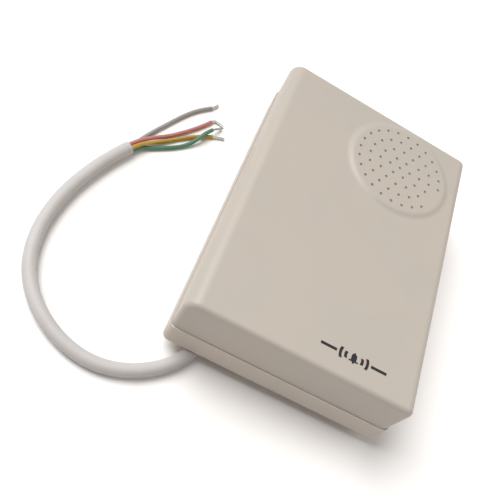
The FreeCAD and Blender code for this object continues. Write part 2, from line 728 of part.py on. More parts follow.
def make_speaker():
    gasket = tube("speaker_gasket", "basket_radius", "basket_radius - gasket_width",
                  "gasket_thickness", z=RIM_TOP)
    at_speaker(piece("speaker_gasket", gasket))

    rim = tube("basket_rim", "basket_radius", SURROUND_OUTER, "basket_sheet", z=RIM)
    cup = cut("basket_cup",
              taper("basket_cup_outer", "basket_foot_radius", f"{SURROUND_OUTER} + basket_sheet",
                    "basket_depth", z=BASKET_FOOT),
              [taper("basket_cup_inner", "basket_foot_radius - basket_sheet", SURROUND_OUTER,
                     "basket_depth", z=BASKET_FOOT)])
    window_foot = f"{BASKET_FOOT} + 0.2 * basket_depth"
    windows = [box("basket_window_across", "4 * basket_radius", "basket_window", "0.6 * basket_depth",
                   z=window_foot),
               box("basket_window_along", "basket_window", "4 * basket_radius", "0.6 * basket_depth",
                   z=window_foot)]
    foot = tube("basket_foot", "basket_foot_radius", "basket_foot_radius - basket_foot_width",
                "basket_sheet", z=BASKET_FOOT)
    ears, ear_holes = [], []
    for angle in SPEAKER_EARS:
        turn = Rotation(Vector(0, 0, 1), angle)
        reach = "(ear_circle - basket_radius + rim_width / 2)"
        strip = doc.addObject("Part::Box", f"ear_strip_{angle}")
        bind(strip, {"Length": reach, "Width": "ear_width", "Height": "basket_sheet"})
        place(strip, "ear_circle - " + reach, "-ear_width / 2", RIM)
        tip = rod(f"ear_tip_{angle}", "ear_width / 2", "basket_sheet", "ear_circle", 0, RIM)
        ear = join(f"ear_{angle}", [strip, tip])
        ear.Placement = Placement(Vector(), turn)
        ears.append(ear)
        bore = rod(f"ear_bore_{angle}", "screw_radius + screw_clearance", "3 * basket_sheet",
                   "ear_circle", 0, f"{RIM} - basket_sheet")
        hole = group(f"ear_hole_{angle}", [bore])
        hole.Placement = Placement(Vector(), turn)
        ear_holes.append(hole)
    bowl = cut("basket_bowl", cup, windows)
    basket = cut("speaker_basket", join("basket_solid", [rim, bowl, foot] + ears), ear_holes)
    at_speaker(piece("speaker_basket", basket))

    at_speaker(piece("speaker_top_plate",
                     tube("speaker_top_plate", "top_plate_radius", PLATE_BORE, "top_plate_thickness",
                          z=MAGNET_TOP)))
    at_speaker(piece("speaker_magnet",
                     tube("speaker_magnet", "magnet_radius", "magnet_bore_radius", "magnet_height",
                          z=YOKE_TOP)))
    yoke = join("speaker_yoke",
                [rod("yoke_disc", "yoke_radius", "yoke_thickness", z=f"{YOKE_TOP} - yoke_thickness"),
                 rod("yoke_pole", "pole_radius", f"{BASKET_FOOT} - {YOKE_TOP} + yoke_thickness",
                     z=f"{YOKE_TOP} - yoke_thickness")])
    at_speaker(piece("speaker_yoke", yoke))

    at_speaker(piece("voice_coil_former",
                     tube("voice_coil_former", FORMER_RADIUS, COIL_RADIUS, "former_height",
                          z=FORMER_FOOT)))
    at_speaker(piece("voice_coil_winding",
                     tube("voice_coil_winding", WINDING_RADIUS, FORMER_RADIUS, "winding_height",
                          z=f"{FORMER_FOOT} + coil_gap")))
    neck = f"({FORMER_TOP} - cone_sheet)"
    cone = revolved("speaker_cone", [
        (FORMER_RADIUS, neck),
        (f"{FORMER_RADIUS} + 2 * cone_sheet", neck),
        (f"{CONE_EDGE} - surround_sheet", f"{RIM_TOP} - cone_sheet"),
        (CONE_EDGE, f"{RIM_TOP} - cone_sheet"),
        (CONE_EDGE, RIM_TOP),
        (f"{CONE_EDGE} - 2 * surround_sheet", RIM_TOP),
        (FORMER_RADIUS, CONE_NECK),
    ])
    at_speaker(piece("speaker_cone", cone))

    make_dust_cap()
    make_suspension()

    tag_turn = Rotation(Vector(0, 0, 1), TAG_ANGLE)
    strip = doc.addObject("Part::Box", "tag_strip")
    bind(strip, {"Length": "tag_board_reach + rim_width", "Width": "tag_board_width",
                 "Height": "basket_sheet"})
    place(strip, "basket_radius - rim_width", "-tag_board_width / 2", f"{RIM} - basket_sheet")
    under_rim = cut("tag_board_cut", strip,
                    [rod("tag_board_clear", SURROUND_OUTER + " + basket_sheet", "4 * basket_sheet",
                         z=f"{RIM} - 2 * basket_sheet")])
    under_rim.Placement = Placement(Vector(), tag_turn)
    at_speaker(piece("speaker_tag_board", group("speaker_tag_board", [under_rim])))
    tags = []
    for side in (-1, 1):
        eyelet = rod(f"tag_eyelet_{side + 1}", "tag_radius", "tag_thickness",
                     "basket_radius + tag_board_reach - 2 * tag_radius", f"{side} * tag_spacing / 2", RIM)
        tags.append(eyelet)
    pair = group("tag_pair", tags)
    pair.Placement = Placement(Vector(), tag_turn)
    at_speaker(piece("speaker_tags", group("speaker_tags", [pair])))


TAG_ANGLE = 215


def make_dust_cap():
    """A shallow dome that closes the middle of the cone."""
    radius = "((dust_cap_radius ^ 2 + dust_cap_height ^ 2) / (2 * dust_cap_height))"
    balls = []
    for name, extra in (("outer", "0"), ("inner", "cone_sheet")):
        ball = doc.addObject("Part::Sphere", f"dust_ball_{name}")
        bind(ball, {"Radius": f"{radius} - {extra}"})
        balls.append(place(ball, z=f"{CAP_SEAT} + dust_cap_height - {radius}"))
    keep = rod("dust_keep", "2 * dust_cap_radius", "2 * dust_cap_height", z=CAP_SEAT)
    shell = cut("dust_shell", balls[0], [balls[1]])
    cap = doc.addObject("Part::MultiCommon", "dust_cap")
    cap.Shapes = [shell, keep]
    at_speaker(piece("dust_cap", cap))


def half_roll(label, ring_radius, roll_radius, sheet_thickness, level):
    """The upper half of a hollow ring: a roll of thin sheet."""
    rings = []
    for name, radius in (("outer", roll_radius), ("inner", f"{roll_radius} - {sheet_thickness}")):
        ring = doc.addObject("Part::Torus", f"{label}_{name}")
        bind(ring, {"Radius1": ring_radius, "Radius2": radius})
        rings.append(place(ring, z=level))
    below = rod(label + "_below", f"2 * {ring_radius}", f"2 * {roll_radius}",
                z=f"{level} - 2 * {roll_radius}")
    return cut(label, rings[0], [rings[1], below])


def make_suspension():
    roll = half_roll("cone_surround", f"({SURROUND_OUTER} - surround_roll)", "surround_roll",
                     "surround_sheet", RIM_TOP)
    at_speaker(piece("cone_surround", roll))
    outer = "(basket_foot_radius - 2 * glue_gap)"
    inner = f"({FORMER_RADIUS} + glue_gap)"
    middle = f"(({inner} + {outer}) / 2)"
    flat = tube("spider_flat", outer, inner, "spider_sheet", z=BASKET_LEDGE)
    rolls = []
    for number, share in enumerate((-0.25, 0.15)):
        ring = doc.addObject("Part::Torus", f"spider_roll_{number}")
        bind(ring, {"Radius1": f"{middle} + {share} * ({outer} - {inner})", "Radius2": "spider_roll"})
        rolls.append(place(ring, z=f"{BASKET_LEDGE} + spider_roll / 2"))
    below = rod("spider_below", "2 * basket_radius", "basket_depth", z=f"{BASKET_LEDGE} - basket_depth")
    spider = cut("cone_spider", join("spider_solid", [flat] + rolls), [below])
    at_speaker(piece("cone_spider", spider))


# Circuit board and what it carries

def make_board():
    plate = box("board_plate", "board_width", "board_length", "board_thickness", "board_x", "board_y", BOARD)
    holes = [rod(f"board_hole_{number}", "screw_radius + screw_clearance", "3 * board_thickness", x, y,
                 f"{BOARD} - board_thickness") for number, (x, y) in enumerate(board_post_places())]
    piece("circuit_board", cut("circuit_board", plate, holes))

    joints = [taper(f"joint_{number}", "joint_height / 2", "joint_height", "joint_height", x, y,
                    f"{BOARD} - joint_height") for number, (x, y) in enumerate(solder_places())]
    piece("solder_joints", group("solder_joints", joints))


def solder_places():
    """Under the legs of the chip, the cans, the resistors and the diode."""
    places = [(f"chip_x + {step - 1.5} * chip_pitch", f"chip_y + {side} * leg_spread / 2")
              for side in (-1, 1) for step in range(4)]
    for can in ("large_can", "small_can"):
        places += [(f"{can}_x + {side} * {can}_radius / 2", f"{can}_y") for side in (-1, 1)]
    places += [(f"resistor_x + {side} * resistor_reach", f"resistor_y - {row} * resistor_step")
               for row in range(3) for side in (-1, 1)]
    places += [(f"diode_x + {side} * resistor_reach", "diode_y") for side in (-1, 1)]
    return places


def make_terminals():
    block = box("terminal_body", "terminal_width", "4 * terminal_pitch", "terminal_height",
                "terminal_x", "terminal_y", BOARD_TOP)
    holes, screws = [], []
    sideways = Rotation(Vector(0, 1, 0), 90)
    well_foot = f"{BOARD_TOP} + terminal_height - terminal_well_depth"
    for number in range(4):
        y = f"(terminal_y + {number - 1.5} * terminal_pitch)"
        holes.append(rod(f"terminal_entry_{number}", "terminal_entry_radius", "terminal_entry_depth + 1",
                         "terminal_x - terminal_width / 2 - 1", y,
                         f"{BOARD_TOP} + terminal_entry_height", sideways))
        holes.append(rod(f"terminal_well_{number}", "terminal_well_radius", "terminal_well_depth + 1",
                         "terminal_x", y, well_foot))
        head = rod(f"terminal_head_{number}", "terminal_screw_radius", "terminal_screw_height",
                   "terminal_x", y, well_foot)
        slot = box(f"terminal_slot_{number}", "3 * terminal_screw_radius", "cross_width",
                   "2 * cross_depth", "terminal_x", y,
                   f"{well_foot} + terminal_screw_height - cross_depth")
        screws.append(cut(f"terminal_screw_{number}", head, [slot]))
    piece("terminal_block", cut("terminal_block", block, holes))
    piece("terminal_screws", group("terminal_screws", screws))


def make_chip():
    level = f"({BOARD_TOP} + chip_lift)"
    body = box("chip_body", "chip_length", "chip_width", "chip_height", "chip_x", "chip_y", level)
    notch = rod("chip_notch", "chip_width / 8", "chip_height", "chip_x - chip_length / 2", "chip_y",
                f"{level} + chip_height / 2")
    piece("melody_chip", cut("melody_chip", body, [notch]))
    legs = []
    for side in (-1, 1):
        for step in range(4):
            x = f"chip_x + {step - 1.5} * chip_pitch"
            shoulder = box(f"leg_shoulder_{side + 1}_{step}", "2 * leg_width",
                           "(leg_spread - chip_width) / 2 + leg_width / 2", "leg_width / 2", x,
                           f"chip_y + {side} * ((leg_spread + chip_width) / 4 + leg_width / 4)",
                           f"{level} + chip_height / 2")
            shin = box(f"leg_shin_{side + 1}_{step}", "leg_width", "leg_width / 2",
                       "chip_lift + chip_height / 2", x,
                       f"chip_y + {side} * (leg_spread / 2 + leg_width / 4)", BOARD_TOP)
            legs.append(join(f"leg_{side + 1}_{step}", [shoulder, shin]))
    piece("chip_legs", group("chip_legs", legs))


def make_trimmer():
    body = box("trimmer_body", "trimmer_width", "trimmer_width", "trimmer_height",
               "trimmer_x", "trimmer_y", BOARD_TOP)
    recess = rod("trimmer_recess", "rotor_radius + rotor_gap", "rotor_depth + 1",
                 "trimmer_x", "trimmer_y", ROTOR_SEAT)
    piece("volume_trimmer", cut("volume_trimmer", body, [recess]))
    knob = rod("rotor_disc", "rotor_radius", "rotor_depth + rotor_rise - rotor_gap",
               z=f"{ROTOR_SEAT} + rotor_gap")
    arrow = join("rotor_cross", [
        box("rotor_slot", "1.4 * rotor_radius", "cross_width", "2 * cross_depth",
            z=f"{ROTOR_SEAT} + rotor_depth + rotor_rise - cross_depth"),
        box("rotor_slot_across", "cross_width", "rotor_radius", "2 * cross_depth",
            z=f"{ROTOR_SEAT} + rotor_depth + rotor_rise - cross_depth")])
    rotor = piece("trimmer_rotor", cut("trimmer_rotor", knob, [arrow]))
    place(rotor, "trimmer_x", "trimmer_y")


def make_cans():
    """Electrolytic capacitors, each a can with a pressed groove near its foot."""
    for can in ("large_can", "small_can"):
        radius, height = f"{can}_radius", f"{can}_height"
        barrel = revolved(can, [
            ("can_edge", BOARD_TOP), (f"{radius} - can_edge", BOARD_TOP),
            (radius, f"{BOARD_TOP} + can_edge"), (radius, f"{BOARD_TOP} + 3 * can_edge"),
            (f"{radius} - can_edge / 2", f"{BOARD_TOP} + 4 * can_edge"),
            (radius, f"{BOARD_TOP} + 5 * can_edge"), (radius, f"{BOARD_TOP} + {height} - can_edge"),
            (f"{radius} - can_edge", f"{BOARD_TOP} + {height}"),
            ("can_edge", f"{BOARD_TOP} + {height}")])
        core = rod(can + "_core", "can_edge", height, z=BOARD_TOP)
        node = piece(can.replace("can", "capacitor"), join(can + "_solid", [barrel, core]))
        place(node, f"{can}_x", f"{can}_y")


def make_transistor():
    level = f"({BOARD_TOP} + transistor_lift)"
    drum = rod("transistor_drum", "transistor_radius", "transistor_height", z=level)
    flat = box("transistor_flat", "3 * transistor_radius", "transistor_radius", "2 * transistor_height",
               y="transistor_radius", z=f"{level} - transistor_height / 2")
    body = piece("driver_transistor", cut("driver_transistor", drum, [flat]))
    place(body, "transistor_x", "transistor_y")
    legs = group("transistor_legs",
                 [box(f"transistor_leg_{step + 1}", "leg_width", "leg_width", "transistor_lift",
                      f"{step} * chip_pitch / 2", z=BOARD_TOP) for step in (-1, 0, 1)])
    place(piece("transistor_legs", legs), "transistor_x", "transistor_y")


def axial_wires(label, x, y):
    """The wire of a part that lies on the board: along its axis, then down at each end."""
    lift = f"({BOARD_TOP} + resistor_lift)"
    sideways = Rotation(Vector(0, 1, 0), 90)
    along = rod(label + "_along", "wire_radius", "2 * resistor_reach", f"{x} - resistor_reach", y,
                lift, sideways)
    ends = [rod(f"{label}_end_{side + 1}", "1.2 * wire_radius", "resistor_lift + 1.2 * wire_radius",
                f"{x} + {side} * resistor_reach", y, BOARD_TOP) for side in (-1, 1)]
    return join(label + "_wire", [along] + ends)


def make_axial_parts():
    lift = f"({BOARD_TOP} + resistor_lift)"
    sideways = Rotation(Vector(0, 1, 0), 90)
    resistors = []
    for row in range(3):
        y = f"(resistor_y - {row} * resistor_step)"
        barrel = rod(f"resistor_barrel_{row}", "resistor_radius", "resistor_length",
                     "resistor_x - resistor_length / 2", y, lift, sideways)
        caps = [rod(f"resistor_cap_{row}_{end}", "1.12 * resistor_radius", "resistor_length / 5",
                    f"resistor_x - resistor_length / 2 + {end} * 0.8 * resistor_length", y, lift, sideways)
                for end in (0, 1)]
        resistors.append(join(f"resistor_{row}", [barrel] + caps + [axial_wires(f"resistor_{row}",
                                                                              "resistor_x", y)]))
    piece("resistors", group("resistors", resistors))
    glass = rod("diode_barrel", "diode_radius", "diode_length", "diode_x - diode_length / 2", "diode_y",
                lift, sideways)
    piece("rectifier_diode", join("rectifier_diode", [glass, axial_wires("diode", "diode_x", "diode_y")]))


def make_discs():
    """Ceramic capacitors: thick discs that stand on two wires."""
    discs = []
    upright = Rotation(Vector(1, 0, 0), 90)
    for number in range(2):
        x = f"(disc_x + {number} * disc_step)"
        level = f"({BOARD_TOP} + disc_lift)"
        plate = rod(f"disc_plate_{number}", "disc_radius", "disc_thickness", x,
                    "disc_y + disc_thickness / 2", level, upright)
        wires = [rod(f"disc_wire_{number}_{side + 1}", "wire_radius", "disc_lift",
                     f"{x} + {side} * disc_radius / 2", "disc_y", BOARD_TOP) for side in (-1, 1)]
        discs.append(join(f"disc_{number}", [plate] + wires))
    piece("ceramic_capacitors", group("ceramic_capacitors", discs))


def make_screws():
    piece("speaker_screws", group("speaker_screws", [
        screw(f"speaker_screw_{number}", x, y, RIM_TOP)
        for number, (x, y) in enumerate(speaker_post_places())]))
    piece("board_screws", group("board_screws", [
        screw(f"board_screw_{number}", x, y, BOARD_TOP)
        for number, (x, y) in enumerate(board_post_places())]))
    piece("clamp_screws", group("clamp_screws", [
        screw(f"clamp_screw_{number}", x, "clamp_y", f"({CLAMP} + clamp_thickness)")
        for number, x in enumerate(clamp_post_places())]))


def make_clamp():
    bar = box("clamp_bar", "clamp_length", "clamp_width", "clamp_thickness",
              "cable_lane_x", "clamp_y", CLAMP)
    holes = [rod(f"clamp_hole_{number}", "screw_radius + screw_clearance", "3 * clamp_thickness", x,
                 "clamp_y", f"{CLAMP} - clamp_thickness") for number, x in enumerate(clamp_post_places())]
    piece("cable_clamp", cut("cable_clamp", bar, holes))


# Cable, cores and leads: straight runs joined by tangent arcs

def path_of(points):
    """The wire along a route, and the smallest radius in it."""
    edges = []
    begin = Vector(*points[0])
    least = None
    for before, here, after in zip(points, points[1:], points[2:]):
        here = Vector(*here)
        inward = (here - Vector(*before)).normalize()
        outward = (Vector(*after) - here).normalize()
        turn = inward.getAngle(outward)
        run = min((here - Vector(*before)).Length, (Vector(*after) - here).Length)
        cut_back = 0.45 * run
        radius = cut_back / math.tan(turn / 2)
        least = radius if least is None else min(least, radius)
        start = here - inward * cut_back
        end = here + outward * cut_back
        to_centre = (outward - inward).normalize()
        centre = here + to_centre * (radius / math.cos(turn / 2))
        middle = centre - to_centre * radius
        edges.append(Part.LineSegment(begin, start).toShape())
        edges.append(Part.Arc(start, middle, end).toShape())
        begin = end
    edges.append(Part.LineSegment(begin, Vector(*points[-1])).toShape())
    return Part.Wire(edges), least


def round_tube(label, points, radius):
    path, least = path_of(points)
    first = Vector(*points[0])
    along = (Vector(*points[1]) - first).normalize()
    section = Part.Wire([Part.Circle(first, along, radius).toShape()])
    solid = path.makePipeShell([section], True, False)
    share = solid.Volume / (math.pi * radius ** 2 * path.Length)
    print(f"{label}: length {path.Length:.1f}, least radius {least or 0:.1f}, volume share {share:.4f}")
    return solid


def cord(label, routes, radius):
    """One or more round tubes as a sub-part of their own."""
    solids = [round_tube(label, route, radius) for route in routes]
    thing = doc.addObject("Part::Feature", label)
    thing.Shape = solids[0] if len(solids) == 1 else Part.makeCompound(solids)
    thing.Placement = Placement()
    piece(label, thing)


# The free cable from the way through the stand-off rim to the end of its jacket. Along x, these
# routes are measured from the left side of the case.
CABLE_ROUTE = [
    (14.3, -55.5), (11.7, -62.3), (6.2, -69.9), (-3.5, -77.2), (-15.7, -80.6), (-28.5, -78.2),
    (-40.5, -70.8), (-49.1, -59.8), (-53.2, -46.0), (-53.3, -30.6), (-50.3, -15.3), (-45.1, -0.6),
    (-41.6, 6.5),
]
# The cores beyond the jacket: side and level in the jacket, then the route after the straight exit.
FREE_CORES = {
    "grey": (1, -1, [(-38.8, 17.5, 0.8), (-34.2, 27.8, 0.8), (-29.5, 38.0, 0.8), (-25.1, 45.1, 0.8),
                     (-21.3, 49.1, 0.8)]),
    "red": (1, 1, [(-36.6, 16.2, 2.4), (-31.2, 23.0, 0.8), (-25.8, 30.0, 0.8), (-21.4, 36.7, 0.8),
                   (-18.7, 41.8, 0.8)]),
    "yellow": (-1, 1, [(-35.0, 15.0, 2.2), (-30.0, 21.3, 0.8), (-24.2, 27.6, 0.8), (-19.7, 31.9, 0.8),
                       (-15.4, 34.6, 0.8)]),
    "green": (-1, -1, [(-33.8, 13.7, 0.8), (-28.0, 18.3, 0.8), (-23.1, 23.3, 0.8), (-20.1, 28.6, 2.2),
                       (-18.5, 32.9, 2.9), (-16.7, 36.3, 2.6)]),
}
CORE_EXIT = 4.0
TIP_EXIT = 1.6
# The cores inside the case, from the nearest terminal on, each with its side and level in the jacket.
INNER_CORES = [("green", 1, 1), ("yellow", 1, -1), ("red", -1, 1), ("grey", -1, -1)]
TIP_ROUTES = {
    "grey": [(-19.5, 52.8, 0.6)],
    "red": [(-16.1, 43.5, 0.6), (-13.4, 42.8, 0.6)],
    "yellow": [(-10.7, 37.0, 0.6)],
    "green": [(-13.6, 41.4, 0.6)],
}


def measured(name):
    return SIZES[name] if name in SIZES else float(sheet.get(name))


def from_left(x, y, z):
    return Vector(measured("case_left") + x, y, z)


def direction(begin, end):
    return (Vector(*end) - Vector(*begin)).normalize()


def make_cables():
    radius = SIZES["cable_radius"]
    lane = measured("cable_lane_x")
    shelf = measured("cable_shelf")
    tail = [from_left(x, y, radius) for x, y in CABLE_ROUTE]
    cord("cable_tail", [tail], radius)
    jacket_end_y = measured("cable_end_y")
    behind = tail[0] + direction(tail[1], tail[0]) * 4.8
    cord("cable_inner", [[tail[0], behind, (lane, -44.5, radius), (lane, -37.0, shelf),
                          (lane, jacket_end_y, shelf)]], radius)
    core = SIZES["core_radius"]
    half_gap = 1.06 * core
    entry_x, entry_z = measured("entry_x"), measured("entry_z")
    for number, (colour, side, level) in enumerate(INNER_CORES):
        entry_y = measured("terminal_y") + (number - 1.5) * SIZES["terminal_pitch"]
        x, z = lane + side * half_gap, shelf + level * half_gap
        start = Vector(x, jacket_end_y, z)
        lift_off = start + Vector(0, 3.6 + 2.8 * number, 0)
        before_entry = Vector(entry_x - 6.0, entry_y, entry_z)
        rise_by = before_entry - lift_off
        halfway = lift_off + Vector(0.35 * rise_by.x, 0.85 * rise_by.y, 0.45 * rise_by.z)
        inside = Vector(entry_x + SIZES["terminal_entry_depth"] - 1.2, entry_y, entry_z)
        cord(f"inner_core_{colour}", [[start, lift_off, halfway, before_entry, inside]], core)
    onward = direction(tail[-2], tail[-1])
    leftward = Vector(-onward.y, onward.x, 0)
    for colour, (side, level, route) in FREE_CORES.items():
        start = tail[-1] + leftward * side * half_gap + Vector(0, 0, level * half_gap)
        points = [start, start + onward * CORE_EXIT] + [from_left(*point) for point in route]
        cord(f"core_{colour}", [points], core)
        exit_point = points[-1] + direction(points[-2], points[-1]) * TIP_EXIT
        tip = [points[-1], exit_point] + [from_left(*point) for point in TIP_ROUTES[colour]]
        cord(f"tip_{colour}", [tip], SIZES["tip_radius"])


def make_speaker_leads():
    board_face, tag_foot = measured("board_face"), measured("tag_foot")
    pad_y, reach = measured("lead_pad_y"), measured("tag_reach")
    angle = math.radians(TAG_ANGLE)
    for colour, side in (("red", 1), ("black", -1)):
        across = side * SIZES["tag_spacing"] / 2
        x = measured("grille_x") + reach * math.cos(angle) - across * math.sin(angle)
        y = measured("grille_y") + reach * math.sin(angle) + across * math.cos(angle)
        pad_x = measured("lead_pad_x") + side * SIZES["lead_pad_spacing"] / 2
        halfway = ((x + pad_x) / 2 - side, (y + pad_y) / 2, board_face + 6.5)
        cord(f"speaker_lead_{colour}", [[
            (x, y, tag_foot), (x, y, tag_foot - 5.0), halfway,
            (pad_x, pad_y, board_face + 3.4), (pad_x, pad_y, board_face)]], SIZES["lead_radius"])


make_rear_base()
make_front_cover()
make_front_mark()
make_speaker()
make_board()
make_terminals()
make_chip()
make_trimmer()
make_cans()
make_transistor()
make_axial_parts()
make_discs()
make_screws()
make_clamp()
make_cables()
make_speaker_leads()
doc.recompute()

broken = [thing.Label for thing in doc.Objects if {"Invalid", "Error"} & set(thing.State)]
broken += [thing.Label for thing in pieces if thing.Shape.isNull() or not thing.Shape.isValid()]
if broken:
    raise SystemExit("these objects failed: " + ", ".join(sorted(set(broken))))
for thing in pieces:
    thing.Shape.exportStep(f"parts/{thing.Label}.step")
print(f"{len(pieces)} pieces written")
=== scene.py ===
# %% [markdown]
# A wired door chime lies on its back on a pale table, with its cable laid out beside it. Its case,
# its loudspeaker and its circuit board come from the measured model, so their shapes are settled.
# This script lays the cable and its cores as smooth curves and gives every piece its finish.

import math

import bpy
from mathutils import Matrix, Vector


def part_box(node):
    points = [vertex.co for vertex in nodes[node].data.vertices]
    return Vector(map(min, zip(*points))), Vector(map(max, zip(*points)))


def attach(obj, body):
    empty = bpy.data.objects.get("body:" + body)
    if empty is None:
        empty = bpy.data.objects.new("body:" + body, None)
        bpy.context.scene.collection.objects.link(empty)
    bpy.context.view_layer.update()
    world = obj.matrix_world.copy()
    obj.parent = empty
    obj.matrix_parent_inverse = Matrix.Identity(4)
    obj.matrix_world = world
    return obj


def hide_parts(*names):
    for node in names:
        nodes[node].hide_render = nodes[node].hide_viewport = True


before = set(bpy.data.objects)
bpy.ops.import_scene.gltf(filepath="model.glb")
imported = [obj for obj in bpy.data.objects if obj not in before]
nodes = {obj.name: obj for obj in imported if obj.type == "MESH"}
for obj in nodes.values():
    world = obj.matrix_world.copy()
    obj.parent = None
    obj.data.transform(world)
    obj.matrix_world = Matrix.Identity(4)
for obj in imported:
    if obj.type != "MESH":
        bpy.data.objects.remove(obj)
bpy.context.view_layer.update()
print("measured parts:", len(nodes))

# %% [markdown]
# The camera looks down on the front from beyond its lower left corner. Its place and its lens were
# fitted so that the edges of the case and the holes of its grille fall where they do in the
# photograph. The lens is shifted a little because the photograph was cropped.

# %% Camera
EYE = Vector((-0.05538, -0.16339, 0.20582))
LOOK = Vector((0.18764, 0.52439, -0.83055)).normalized()
RIGHTWARD = Vector((0.87467, 0.29553, 0.38420))
RIGHT = (RIGHTWARD - LOOK * RIGHTWARD.dot(LOOK)).normalized()
UP = RIGHT.cross(LOOK)
PICTURE_PIXELS = 500
FOCAL_PIXELS = 652.5
CENTRE_PIXELS = (266.0, 319.7)
SENSOR_MM = 36.0
NEAREST_SEEN = 0.01

bpy.ops.object.camera_add(location=EYE)
camera = bpy.context.object
camera.name = "camera"
turn = Matrix((RIGHT, UP, -LOOK)).transposed()
camera.matrix_world = Matrix.Translation(EYE) @ turn.to_4x4()
lens = camera.data
lens.sensor_width = SENSOR_MM
lens.lens = FOCAL_PIXELS / PICTURE_PIXELS * SENSOR_MM
lens.shift_x = 0.5 - CENTRE_PIXELS[0] / PICTURE_PIXELS
lens.shift_y = CENTRE_PIXELS[1] / PICTURE_PIXELS - 0.5
lens.clip_start = NEAREST_SEEN
bpy.context.scene.camera = camera
print("lens", round(lens.lens, 2), "mm, shift", round(lens.shift_x, 3), round(lens.shift_y, 3))

# %% [markdown]
# The cable is a round white sheath with four thin cores in it. A flexible lead takes one smooth line,
# so it follows a short list of given control points. The points are measured from the left side of
# the case, beyond which most of the cable lies.

# %% Route of the cable
CASE_LEFT = -0.0425
CABLE_RADIUS = 0.0025
CABLE_ROUTE = [
    (0.0143, -0.0555), (0.0117, -0.0623), (0.0062, -0.0699), (-0.0035, -0.0772), (-0.0157, -0.0806),
    (-0.0285, -0.0782), (-0.0405, -0.0708), (-0.0491, -0.0598), (-0.0532, -0.0460),
    (-0.0533, -0.0306), (-0.0503, -0.0153), (-0.0451, -0.0006), (-0.0416, 0.0065),
]


def from_left(x, y, z=CABLE_RADIUS):
    """A point that is measured from the left side of the case."""
    return Vector((CASE_LEFT + x, y, z))


print("cable route:", len(CABLE_ROUTE), "control points")

# %% [markdown]
# Every cord here is a NURBS curve with a round bevel, which makes a tube that stays easy to bend. The
# bevel is one metre deep, so the radius at each point is the radius of the tube in metres.

# %% A tube along control points
def lay_curve(name, routes, radius, smoothness=12, roundness=6):
    """Smooth round tubes along one or more routes of control points."""
    data = bpy.data.curves.new(name, "CURVE")
    data.dimensions = "3D"
    data.resolution_u = smoothness
    data.bevel_depth = 1.0
    data.bevel_resolution = roundness
    data.use_fill_caps = True
    for route in routes:
        spline = data.splines.new("NURBS")
        spline.points.add(len(route) - 1)
        for point, place in zip(spline.points, route):
            point.co = (*place, 1.0)
            point.radius = radius
        spline.order_u = 3
        spline.use_endpoint_u = True
    curve = bpy.data.objects.new(name, data)
    bpy.context.collection.objects.link(curve)
    return curve


# %% [markdown]
# The sheath's tube stops a little before the cable does, because the cut end of a sheath is a hollow
# mouth from which the cores come out.

# %% The cable's sheath
MOUTH_DEPTH = 0.002
cable_route = [from_left(x, y) for x, y in CABLE_ROUTE]
cable_end = cable_route[-1]
onward = (cable_end - cable_route[-2]).normalized()
cable_route[-1] = cable_end - onward * MOUTH_DEPTH
cable = lay_curve("cable", [cable_route], CABLE_RADIUS)
print("the sheath is", 2000 * CABLE_RADIUS, "mm thick")

# %% [markdown]
# The mouth is a short tube without end faces. A Solidify modifier gives it its wall, and a Bevel
# modifier softens its rims, because cut vinyl never keeps a sharp edge.

# %% The cut end of the sheath
SHEATH_WALL = 0.00042
CUT_ROUNDING = 0.00012
bpy.ops.mesh.primitive_cylinder_add(
    vertices=48, radius=CABLE_RADIUS, depth=MOUTH_DEPTH, end_fill_type="NOTHING",
    location=cable_end - onward * MOUTH_DEPTH / 2, rotation=onward.to_track_quat("Z", "Y").to_euler())
mouth = bpy.context.object
mouth.name = "cable_mouth"
bpy.ops.object.transform_apply(location=True, rotation=True, scale=True)
wall = mouth.modifiers.new("wall", "SOLIDIFY")
wall.thickness = SHEATH_WALL
wall.offset = -1
edge = mouth.modifiers.new("edge", "BEVEL")
edge.width = CUT_ROUNDING
edge.segments = 2
for modifier in ("wall", "edge"):
    bpy.ops.object.modifier_apply(modifier=modifier)
bpy.ops.object.shade_smooth_by_angle(angle=math.radians(50))
for piece in (cable, mouth):
    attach(piece, "base")
    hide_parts("cable_tail")
print("the sheath's wall is", round(1000 * SHEATH_WALL, 2), "mm thick")

# %% [markdown]
# Beyond the sheath the four cores fan out. They leave the cut end side by side, two above two, and
# then drop to the table. The green one rides over the yellow one near their ends, as in the
# photograph. Each entry gives a core's side and level in the sheath, then its route after a short
# straight exit.

# %% Routes of the four cores
CORE_RADIUS = 0.0008
CORE_SPREAD = 1.06 * CORE_RADIUS
CORE_EXIT = 0.004
FREE_CORES = {
    "grey": (1, -1, [(-0.0388, 0.0175, 0.0008), (-0.0342, 0.0278, 0.0008), (-0.0295, 0.0380, 0.0008),
                     (-0.0251, 0.0451, 0.0008), (-0.0213, 0.0491, 0.0008)]),
    "red": (1, 1, [(-0.0366, 0.0162, 0.0024), (-0.0312, 0.0230, 0.0008), (-0.0258, 0.0300, 0.0008),
                   (-0.0214, 0.0367, 0.0008), (-0.0187, 0.0418, 0.0008)]),
    "yellow": (-1, 1, [(-0.0350, 0.0150, 0.0022), (-0.0300, 0.0213, 0.0008), (-0.0242, 0.0276, 0.0008),
                       (-0.0197, 0.0319, 0.0008), (-0.0154, 0.0346, 0.0008)]),
    "green": (-1, -1, [(-0.0338, 0.0137, 0.0008), (-0.0280, 0.0183, 0.0008), (-0.0231, 0.0233, 0.0008),
                       (-0.0201, 0.0286, 0.0022), (-0.0185, 0.0329, 0.0029), (-0.0167, 0.0363, 0.0026)]),
}
leftward = Vector((-onward.y, onward.x, 0))
core_routes = {}
for colour, (side, level, route) in FREE_CORES.items():
    start = cable_end + leftward * side * CORE_SPREAD + Vector((0, 0, level * CORE_SPREAD))
    straight = [start - onward * MOUTH_DEPTH, start + onward * CORE_EXIT]
    core_routes[colour] = straight + [from_left(*place) for place in route]
print("core routes:", ", ".join(core_routes))

